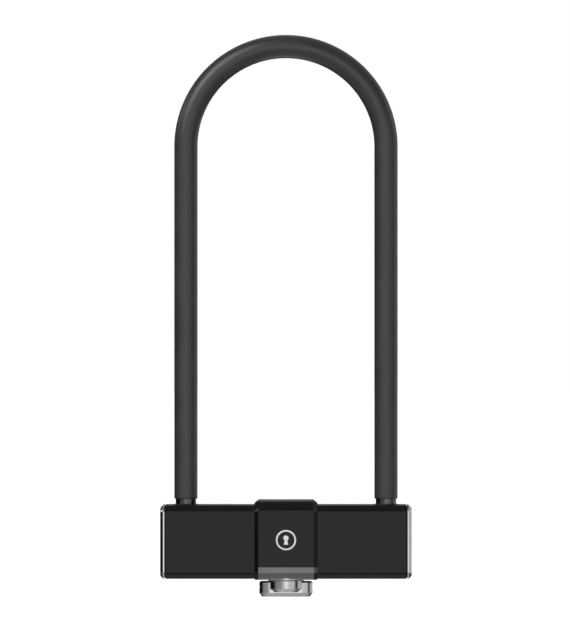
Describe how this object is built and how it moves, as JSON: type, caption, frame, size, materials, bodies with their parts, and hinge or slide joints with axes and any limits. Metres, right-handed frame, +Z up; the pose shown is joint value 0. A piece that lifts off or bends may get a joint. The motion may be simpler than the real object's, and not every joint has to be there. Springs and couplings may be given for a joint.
{
  "type": "u lock",
  "caption": "Long-shackle U lock: jacketed steel shackle and a double dead-bolt crossbar worked by a turn knob with a key cylinder.",
  "frame": {"origin": "centre of the flat underside of the turn knob, which is the bottom centre of the whole lock's bounding box", "axes": "+Z up along the shackle's legs, +X along the crossbar, the badge faces -Y"},
  "size_m": [0.1454, 0.0424, 0.3257],
  "materials": {
    "hardened_rod": "dark polished hardened steel",
    "jacket": "matte soft-touch jacket",
    "black_shell": "satin black coating",
    "silver_trim": "satin bright steel",
    "knob_metal": "satin bright plating",
    "gunmetal": "dark brushed metal",
    "badge": "bright polished inlay",
    "tool_steel": "machined steel",
    "zinc_casting": "die-cast alloy",
    "brass": "machined brass",
    "black_rubber": "moulded rubber",
    "black_oxide": "black-oxide steel"
  },
  "bodies": {
    "crossbar": {"crossbar_shell": "black_shell", "end_cap_left": "silver_trim", "end_cap_right": "silver_trim", "cap_pins": "black_oxide", "foot_socket_left": "tool_steel", "foot_socket_right": "tool_steel", "socket_buffers": "black_rubber", "shackle_seals": "black_rubber", "bolt_housing_lower": "zinc_casting", "bolt_housing_upper": "zinc_casting", "housing_screws": "black_oxide", "guard_plate": "tool_steel", "pinion_bush": "brass", "cylinder_housing": "brass", "cylinder_grub_screw": "black_oxide", "bezel_ring": "silver_trim", "centre_collar": "black_shell", "badge_inlay": "badge", "collar_base": "gunmetal"},
    "shackle": {"shackle": "hardened_rod", "shackle_sleeve": "jacket"},
    "bolt_left": {"bolt_left": "tool_steel"},
    "bolt_right": {"bolt_right": "tool_steel"},
    "turn_knob": {"turn_knob": "knob_metal", "knob_grub_screws": "black_oxide", "cylinder_rotor": "tool_steel", "rotor_clip": "tool_steel", "rotor_seal": "black_rubber", "drive_pinion": "tool_steel", "disc_spacers": "tool_steel"},
    "key_plug": {"keyway_plug": "tool_steel", "detainer_discs": "brass"},
    "sidebar": {"sidebar": "tool_steel"}
  },
  "joints": [
    {"name": "shackle_lift", "type": "slide", "parent": "crossbar", "child": "shackle", "axis": [0, 0, 1], "range_m": [0, 0.045]},
    {"name": "knob_turn", "type": "hinge", "parent": "crossbar", "child": "turn_knob", "pos_m": [0, 0, 0.005], "axis": [0, 0, 1], "range_deg": [0, 90]},
    {"name": "bolt_left_throw", "type": "slide", "parent": "crossbar", "child": "bolt_left", "axis": [-1, 0, 0], "range_m": [0, 0.00503]},
    {"name": "bolt_right_throw", "type": "slide", "parent": "crossbar", "child": "bolt_right", "axis": [1, 0, 0], "range_m": [0, 0.00503]},
    {"name": "key_turn", "type": "hinge", "parent": "turn_knob", "child": "key_plug", "pos_m": [0, 0, 0.005], "axis": [0, 0, -1], "range_deg": [0, 90]},
    {"name": "sidebar_lift", "type": "slide", "parent": "turn_knob", "child": "sidebar", "axis": [1, 0, 0], "range_m": [0, 0.0012]}
  ],
  "couplings": [
    {"joint": "bolt_left_throw", "follows": "knob_turn", "m_per_rad": 0.0032},
    {"joint": "bolt_right_throw", "follows": "knob_turn", "m_per_rad": 0.0032},
    {"joint": "sidebar_lift", "follows": "key_turn", "m_per_rad": 0.00076394}
  ]
}
